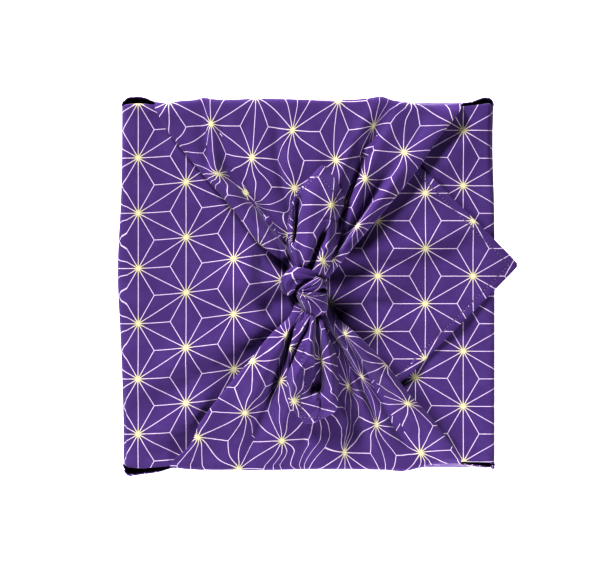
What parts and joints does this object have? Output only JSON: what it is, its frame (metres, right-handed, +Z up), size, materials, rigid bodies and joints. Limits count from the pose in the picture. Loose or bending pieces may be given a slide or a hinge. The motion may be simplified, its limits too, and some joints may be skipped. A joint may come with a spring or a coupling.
{
  "type": "furoshiki wrap tied round a gift box",
  "caption": "Printed cotton square folded round a flat square gift box, two corners crossed under and two gathered in a knot with tails.",
  "frame": {"origin": "middle of the flat underside, under the middle of the box", "axes": "+Z up out of the knotted side, +X towards the corner that lies past the right edge, +Y towards the side whose tail runs back from the knot"},
  "size_m": [0.3094, 0.297, 0.0611],
  "materials": {
    "printed_cotton": "matte plain weave with a fine pale line print",
    "plain_card": "matte uncoated card"
  },
  "bodies": {
    "root": {"furoshiki_cloth": "printed_cotton", "gift_box": "plain_card"}
  },
  "joints": []
}
